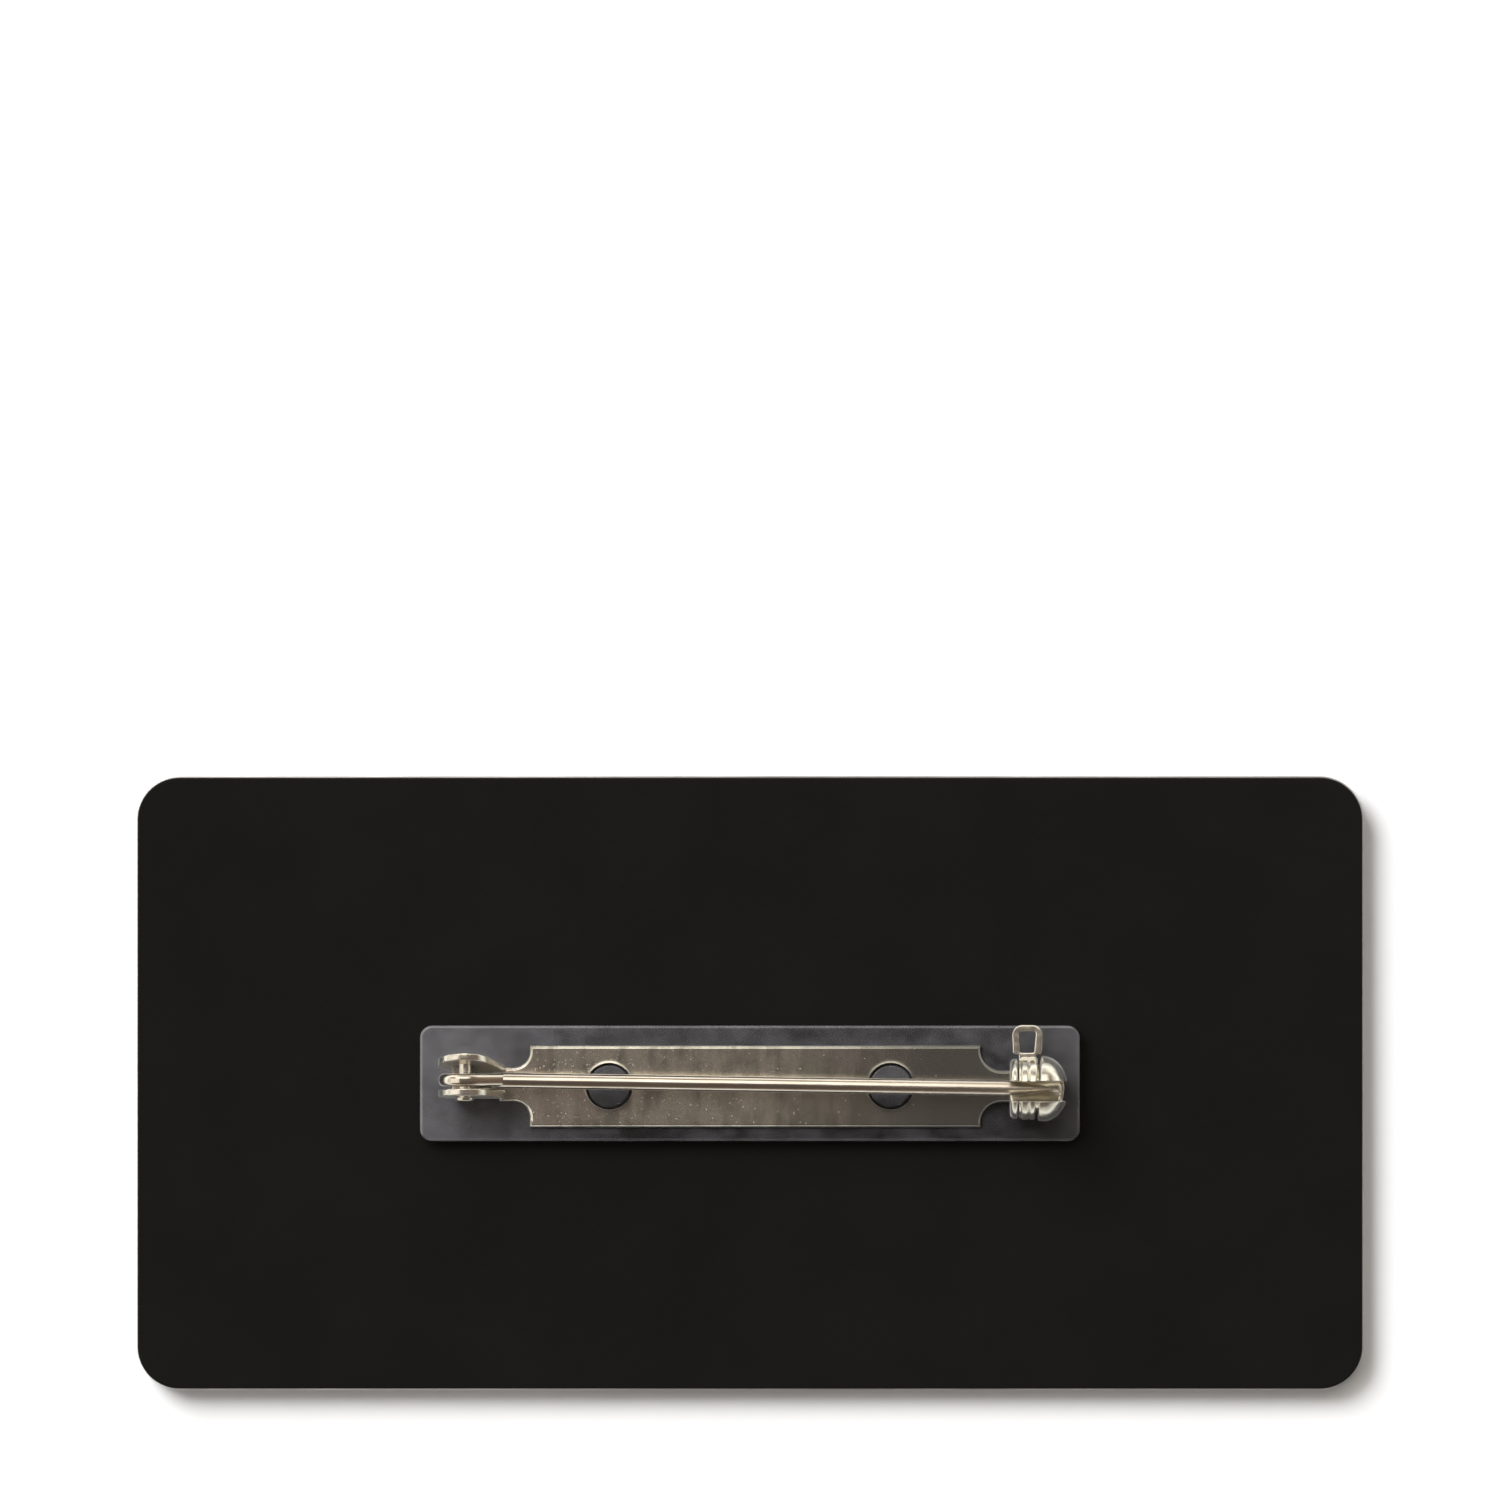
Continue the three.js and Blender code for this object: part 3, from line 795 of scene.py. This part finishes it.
def make_pad(material):
    """The clear pad lies on the core, and its studs fill the bar's holes."""
    top = bar_top - SHEET
    pad = prism("adhesive_pad_clear", rectangle(pad_low, pad_high, PAD_CORNER), pad_low.z, top)
    bevel(pad, PAD_EDGE, 4)
    for x, y in hole_places():
        stud = bevel(upright_cylinder(x, y, STUD_RADIUS, top - SHEET, pad_high.z), PAD_EDGE, 3)
        combine(stud, make_pit(x, y), "DIFFERENCE")
        combine(pad, stud, "UNION")
    dress(pad, "badge", "adhesive_pad", material)


# Bar with hinge fork and catch


def bar_outline():
    """The flat outline of the strip and its two necks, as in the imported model."""
    neck_low = bar_middle_y - NECK_WIDTH / 2
    neck_high = bar_middle_y + NECK_WIDTH / 2
    far_side = bar_middle_y * 2 - bar_low.y
    left_x = STRIP_LEFT - HINGE_NOTCH
    right_x = STRIP_RIGHT + CATCH_NOTCH
    neck_left = hinge.x + EAR_FOOT - SHEET
    return [
        (neck_left, FORK_NECK_LOW),
        *arc(left_x, FORK_NECK_LOW - HINGE_NOTCH, HINGE_NOTCH, 90, 0, NOTCH_STEPS),
        (STRIP_LEFT, bar_low.y),
        (STRIP_RIGHT, bar_low.y),
        *arc(right_x, neck_low - CATCH_NOTCH, CATCH_NOTCH, 180, 90, NOTCH_STEPS),
        (collar_right, neck_low),
        (collar_right, neck_high),
        *arc(right_x, neck_high + CATCH_NOTCH, CATCH_NOTCH, 270, 180, NOTCH_STEPS),
        (STRIP_RIGHT, far_side),
        (STRIP_LEFT, far_side),
        *arc(left_x, FORK_HIGH + HINGE_NOTCH, HINGE_NOTCH, 0, -90, NOTCH_STEPS),
        (neck_left, FORK_HIGH),
    ]


def make_strip():
    """The strip's upper edges are rolled over, and each hole has a low punched lip."""
    strip = prism("pin_bar_nickel", bar_outline(), bar_top - SHEET, bar_top)
    roll_over(strip, bar_top, BAR_EDGE, 4)
    foot = HOLE_RADIUS + HOLE_LIP_WIDTH
    lip_profile = [
        (-SHEET / 2, 0),
        (-SHEET / 2, foot),
        (-HOLE_LIP_SINK, foot),
        (HOLE_LIP_HEIGHT, HOLE_RADIUS + HOLE_LIP_CREST),
        (HOLE_LIP_HEIGHT, 0),
    ]
    for x, y in hole_places():
        lip = placed(turned("lip", lip_profile, ROUND_STEPS), UPRIGHT)
        combine(strip, move(lip, (x, y, bar_top)), "UNION")
        hole = upright_cylinder(x, y, HOLE_RADIUS, bar_top - 2 * SHEET, bar_top + SHEET)
        combine(strip, hole, "DIFFERENCE")
    return strip


def touch_angle(dx, dz, radius, side):
    """The direction from a circle's middle to where a line from a point outside touches it."""
    return math.degrees(math.atan2(dz, dx) + side * math.acos(radius / math.hypot(dx, dz)))


def fork_section():
    """The bent sheet seen along the bar: floor and two leaning ears."""
    floor = bar_top - SHEET
    tall = hinge.z + EAR_RADIUS + SHEET - floor
    low, high = FORK_LOW, FORK_HIGH
    inner = BEND_RADIUS / 3
    return rounded([
        (high + UPPER_LEAN * tall, floor + tall, 0),
        (high + UPPER_LEAN * tall - SHEET, floor + tall, 0),
        (high + UPPER_LEAN * SHEET - SHEET, bar_top, inner),
        (low + LOWER_LEAN * SHEET + SHEET, bar_top, inner),
        (low + LOWER_LEAN * tall + SHEET, floor + tall, 0),
        (low + LOWER_LEAN * tall, floor + tall, 0),
        (low, floor, BEND_RADIUS),
        (high, floor, BEND_RADIUS),
    ])


def ear_outline():
    """The fork seen from the side, about the rivet: round ears on a straight floor."""
    left, right = -FLOOR_OVERHANG, EAR_FOOT
    foot = bar_top - hinge.z
    under = foot - SHEET
    start = touch_angle(left, foot, EAR_RADIUS, -1) + 360
    end = touch_angle(right, foot, EAR_RADIUS, 1)
    return [
        (left, under),
        (left, foot),
        *arc(0, 0, EAR_RADIUS, start, end, EAR_STEPS),
        (right, foot),
        (right, under),
    ]


def seat_places():
    """Where the outer face of each ear stands at the height of the rivet."""
    rise = hinge.z - (bar_top - SHEET)
    return FORK_LOW + LOWER_LEAN * rise, FORK_HIGH + UPPER_LEAN * rise


def make_fork():
    """The bent sheet, cut to the ears' outline and bored for the rivet and its heads."""
    reach = FORK_HIGH * 3
    ears = placed(prism("ears", ear_outline(), -reach, reach), STAND)
    move(ears, (hinge.x, 0, hinge.z))
    run = EAR_RADIUS + EAR_FOOT
    fork = placed(prism("fork", fork_section(), hinge.x - run, hinge.x + run), ALONG_X)
    combine(fork, ears, "INTERSECT")
    low, high = seat_places()
    bore = RIVET_RADIUS + RIVET_CLEARANCE
    seat = RIVET_HEAD_RADIUS + RIVET_CLEARANCE
    combine(fork, cross_cylinder(bore, low - SHEET, high + SHEET), "DIFFERENCE")
    combine(fork, cross_cylinder(seat, high, high + SHEET), "DIFFERENCE")
    combine(fork, cross_cylinder(seat, low - SHEET, low), "DIFFERENCE")
    return soften(fork, SHEET_VOXEL, SHEET_ROUNDS)


def slant(piece, near_x, beyond_radius):
    """Leans the faces near an x and outside a radius, as the sleeve and ring aren't quite square."""
    for point in piece.data.vertices:
        near = abs(point.co.x - near_x) < END_REACH
        if near and math.hypot(point.co.y, point.co.z) > beyond_radius:
            point.co.x += END_SLANT * point.co.y


def slot_cut(low_x, high_x, low_z):
    """A box that cuts the slot for the needle from above, down to a height."""
    middle = catch.y - SLOT_OFFSET
    low = (low_x, middle - SLOT_WIDTH / 2, low_z)
    high = (high_x, middle + SLOT_WIDTH / 2, catch.z + 2 * RING_RADIUS)
    return plain_box(low, high)


def barrel_profile(bore_end):
    """Collar, tube, ring and dome, with the bore up to its end."""
    dome_left = bar_high.x - DOME_LENGTH
    ring_left = dome_left - RING_WIDTH
    dome = []
    for i in range(1, DOME_STEPS):
        angle = math.radians(90 * i / DOME_STEPS)
        dome.append((dome_left + DOME_LENGTH * math.sin(angle), RING_RADIUS * math.cos(angle), 0))
    return rounded([
        (collar_left, BORE_RADIUS, BORE_MOUTH_EDGE),
        (collar_left, COLLAR_RADIUS, COLLAR_EDGE),
        (collar_right, COLLAR_RADIUS, COLLAR_BACK_EDGE),
        (collar_right, TUBE_RADIUS, 0),
        (ring_left, TUBE_RADIUS, 0),
        (ring_left, RING_RADIUS, RING_EDGE),
        (dome_left, RING_RADIUS, 0),
        *dome,
        (bar_high.x, 0, 0),
        (bore_end, 0, 0),
        (bore_end, BORE_RADIUS, BORE_END_EDGE),
    ], 5)


def make_barrel():
    """The catch is turned in one, slotted from above and open at its nose, with a foot on the neck."""
    bore_end = bar_high.x - DOME_WALL
    barrel = turned("barrel", barrel_profile(bore_end), FINE_STEPS)
    slant(barrel, bar_high.x - DOME_LENGTH - RING_WIDTH, TUBE_RADIUS + RING_CLEARANCE)
    move(barrel, (0, catch.y, catch.z))
    combine(barrel, slot_cut(collar_left - OVERCUT, bore_end, catch.z), "DIFFERENCE")
    nose = slot_cut(bore_end - NOSE_OVERLAP, bar_high.x + OVERCUT, catch.z - NOSE_NOTCH)
    combine(barrel, nose, "DIFFERENCE")
    low = (collar_left, bar_middle_y - NECK_WIDTH / 2, bar_top - SHEET)
    high = (collar_right, bar_middle_y + NECK_WIDTH / 2, catch.z - (COLLAR_RADIUS + BORE_RADIUS) / 2)
    combine(barrel, plain_box(low, high), "UNION")
    return soften(barrel, SHEET_VOXEL, SHEET_ROUNDS)


def make_bar(material):
    bar = make_strip()
    combine(bar, make_fork(), "UNION")
    combine(bar, make_barrel(), "UNION")
    dress(bar, "badge", "pin_bar", material, BAR_SHARP_ANGLE)


def make_rivet(material):
    """A shank with a head in the seat of each ear."""
    low, high = seat_places()
    low -= RIVET_HEAD_GAP
    high += RIVET_HEAD_GAP
    profile = rounded([
        (low - RIVET_HEAD_HEIGHT, 0, 0),
        (low - RIVET_HEAD_HEIGHT, RIVET_HEAD_RADIUS, RIVET_HEAD_EDGE),
        (low, RIVET_HEAD_RADIUS, RIVET_HEAD_FOOT_EDGE),
        (low, RIVET_RADIUS, 0),
        (high, RIVET_RADIUS, 0),
        (high, RIVET_HEAD_RADIUS, RIVET_HEAD_FOOT_EDGE),
        (high + RIVET_HEAD_HEIGHT, RIVET_HEAD_RADIUS, RIVET_HEAD_EDGE),
        (high + RIVET_HEAD_HEIGHT, 0, 0),
    ], 6)
    rivet = placed(turned("hinge_rivet_nickel", profile, SMALL_STEPS), ALONG_Y)
    move(rivet, (hinge.x, 0, hinge.z))
    dress(rivet, "badge", "hinge_rivet", material)


# Needle


def make_eye():
    """The wire's flattened end, bored for the rivet."""
    touch = touch_angle(EYE_TAPER, 0, EYE_RADIUS, 1)
    outline = [(EYE_TAPER, 0), *arc(0, 0, EYE_RADIUS, touch, 360 - touch, SMALL_STEPS)]
    eye = placed(prism("eye", outline, -EYE_THICKNESS / 2, EYE_THICKNESS / 2), STAND)
    bevel(eye, EYE_EDGE, 5)
    move(eye, hinge)
    bore = cross_cylinder(EYE_HOLE, hinge.y - EYE_THICKNESS, hinge.y + EYE_THICKNESS)
    combine(eye, bore, "DIFFERENCE")
    return soften(eye, EYE_VOXEL, EYE_ROUNDS)


def wire_profile(run):
    """The round wire from its start in the eye to its point, a run away from the rivet."""
    point_start = run - POINT_LENGTH
    point = []
    for i in range(1, POINT_STEPS):
        share = i / POINT_STEPS
        point.append((point_start + POINT_LENGTH * share, WIRE_RADIUS * (1 - share ** 2), 0))
    return rounded([
        (WIRE_START, 0, 0),
        (WIRE_START, WIRE_RADIUS, WIRE_START_EDGE),
        (point_start, WIRE_RADIUS, 0),
        *point,
        (run, 0, 0),
    ], 6)


def make_needle(material):
    """The wire runs from its flattened eye to the middle of the catch."""
    eye = make_eye()
    dx = needle_high.x - hinge.x
    dy = catch.y - hinge.y
    needle = turned("pin_wire_steel", wire_profile(math.hypot(dx, dy)), SMALL_STEPS)
    placed(needle, Matrix.Rotation(math.atan2(dy, dx), 4, "Z"))
    move(needle, hinge)
    combine(needle, eye, "UNION")
    dress(needle, "needle", "pin_wire", material)


# Lock sleeve


def loop_outline():
    """The thumb loop about the sleeve's middle, as (x, distance from the axis)."""
    root_half = SLEEVE_LENGTH / 2 - LOOP_ROOT_INSET
    root = (SLEEVE_RADIUS + SLEEVE_BORE) / 2
    shoulder = RING_RADIUS + LOOP_SHOULDER
    right = [
        (root_half, root, 0),
        (root_half, shoulder, LOOP_NECK_CORNER),
        (LOOP_HALF - LOOP_TAPER, shoulder + LOOP_TAPER, LOOP_SHOULDER_CORNER),
        (LOOP_HALF, LOOP_REACH, LOOP_TOP_CORNER),
    ]
    left = [(-x, y, radius) for x, y, radius in reversed(right)]
    return rounded([*right, *left])


def loop_window():
    """The opening of the thumb loop, which narrows towards the sleeve."""
    sill = RING_RADIUS + LOOP_SHOULDER + LOOP_SILL
    top = LOOP_REACH - LOOP_TOP
    half = LOOP_HALF - LOOP_STRIP
    return rounded([
        (-half + WINDOW_LEFT_TAPER, sill, WINDOW_SILL_CORNER),
        (half - WINDOW_RIGHT_TAPER, sill, WINDOW_SILL_CORNER),
        (half, top, WINDOW_TOP_CORNER),
        (-half, top, WINDOW_TOP_CORNER),
    ])


def make_loop():
    """The thumb loop at the height of the catch's axis."""
    low, high = catch.z - LOOP_THICKNESS / 2, catch.z + LOOP_THICKNESS / 2
    loop = prism("loop", loop_outline(), low, high)
    window = prism("window", loop_window(), catch.z - LOOP_THICKNESS, catch.z + LOOP_THICKNESS)
    combine(loop, window, "DIFFERENCE")
    return bevel(loop, LOOP_EDGE, 4)


def sleeve_profile(left, right):
    """A low rim towards the hinge and two ribs with a groove between them."""
    rim = SLEEVE_RADIUS - GROOVE_DEPTH
    rib_left = left + SLEEVE_RIM
    groove = (rib_left + right) / 2
    half = GROOVE_WIDTH / 2
    return rounded([
        (left, SLEEVE_BORE, SLEEVE_EDGE),
        (left, rim, SLEEVE_EDGE),
        (rib_left, rim, 0),
        (rib_left, SLEEVE_RADIUS, RIB_EDGE),
        (groove - half, SLEEVE_RADIUS, GROOVE_EDGE),
        (groove, rim - GROOVE_EXTRA, 0),
        (groove + half, SLEEVE_RADIUS, GROOVE_EDGE),
        (right, SLEEVE_RADIUS, SLEEVE_END_EDGE),
        (right, SLEEVE_BORE, SLEEVE_EDGE),
    ], 5)


def make_sleeve(material):
    left = collar_right + SLEEVE_GAP
    right = left + SLEEVE_LENGTH
    sleeve = turned("lock_sleeve_nickel", sleeve_profile(left, right), FINE_STEPS)
    slant(sleeve, right, 0)
    move(sleeve, (0, catch.y, catch.z))
    combine(sleeve, slot_cut(left - OVERCUT, right + OVERCUT, catch.z), "DIFFERENCE")
    loop = move(make_loop(), ((left + right) / 2, catch.y, 0))
    combine(sleeve, loop, "UNION")
    soften(sleeve, SLEEVE_VOXEL, SLEEVE_ROUNDS)
    dress(sleeve, "catch_lock", "lock_sleeve", material)


# Room: floor, lights, sky and camera


def make_floor():
    corners = [(-FLOOR_HALF, -FLOOR_HALF), (FLOOR_HALF, -FLOOR_HALF)]
    corners += [(FLOOR_HALF, FLOOR_HALF), (-FLOOR_HALF, FLOOR_HALF)]
    floor = prism("floor", corners, FLOOR_BOTTOM, FLOOR_TOP)
    floor.data.transform(Matrix.Scale(MM, 4))
    made, tree, shader = new_material("pale_floor")
    grain = noise(tree, place_in_mm(tree), size=3.0)
    fill(
        tree, shader, Roughness=0.9, Specular_IOR_Level=0.1,
        Base_Color=blend(tree, grain, FLOOR_DARKER, FLOOR_LIGHTER),
    )
    floor.data.materials.append(made)


def make_sky():
    """A studio round the badge: pale low down and grey overhead, with two large soft panels."""
    world = bpy.data.worlds.new("studio")
    world.use_nodes = True
    bpy.context.scene.world = world
    tree = world.node_tree
    direction = node(tree, "ShaderNodeTexCoord").outputs["Generated"]
    along, across, up = axes(tree, direction)
    top_across = band(tree, across, low=0.2, high=0.78, soft=0.06)
    top_along = band(tree, along, low=-0.6, high=0.35, soft=0.12)
    left_across = band(tree, across, low=-0.45, high=0.2, soft=0.1)
    left_along = band(tree, along, low=-0.92, high=-0.4, soft=0.08)
    top_panel = multiply(tree, top_across, top_along)
    left_panel = multiply(tree, left_across, left_along)
    panels = add(tree, top_panel, multiply(tree, left_panel, 0.7))
    shade = spread(tree, across, -0.3, 0.3, 0.45, 1.0)
    shaded = blend(tree, 1.0, ramp(tree, up, SKY_HEIGHTS), shade, "MULTIPLY")
    lit = blend(tree, panels, shaded, PANEL_LIGHT, "ADD")
    tree.links.new(lit, tree.nodes["Background"].inputs["Color"])


def make_sun():
    """The key light from the upper left throws the shadow, and the sky alone shows in the metal."""
    lamp = bpy.data.lights.new("key", "SUN")
    lamp.energy = 3.4
    lamp.angle = math.radians(36)
    sun = bpy.data.objects.new("key", lamp)
    bpy.context.scene.collection.objects.link(sun)
    sun.rotation_mode = "QUATERNION"
    sun.rotation_quaternion = Vector(TOWARDS_SUN).to_track_quat("Z", "Y")
    sun.visible_glossy = False


def make_camera():
    """Straight above, at the photograph's scale and with the badge where the photograph has it."""
    data = bpy.data.cameras.new("camera")
    data.lens = 400
    data.clip_start = 0.05
    data.clip_end = 20
    camera = bpy.data.objects.new("camera", data)
    bpy.context.scene.collection.objects.link(camera)
    pixel = (plate_high.x - plate_low.x) / BADGE_PIXELS_LONG
    width = PHOTO_WIDTH * pixel
    distance = width * data.lens / data.sensor_width
    x = (PHOTO_WIDTH / 2 - BADGE_PIXEL_X) * pixel
    y = (BADGE_PIXEL_Y - PHOTO_WIDTH / 2) * pixel
    camera.location = Vector((x, y, core_high.z + distance)) * MM
    bpy.context.scene.camera = camera


make_camera()
make_floor()
make_sky()
make_sun()
bpy.context.scene.view_settings.view_transform = "Standard"

nickel = nickel_plate()
make_face_sheet(brushed_metal())
make_core(black_plastic())
make_pad(clear_adhesive())
make_bar(nickel)
make_rivet(nickel)
make_needle(pin_steel())
make_sleeve(nickel)
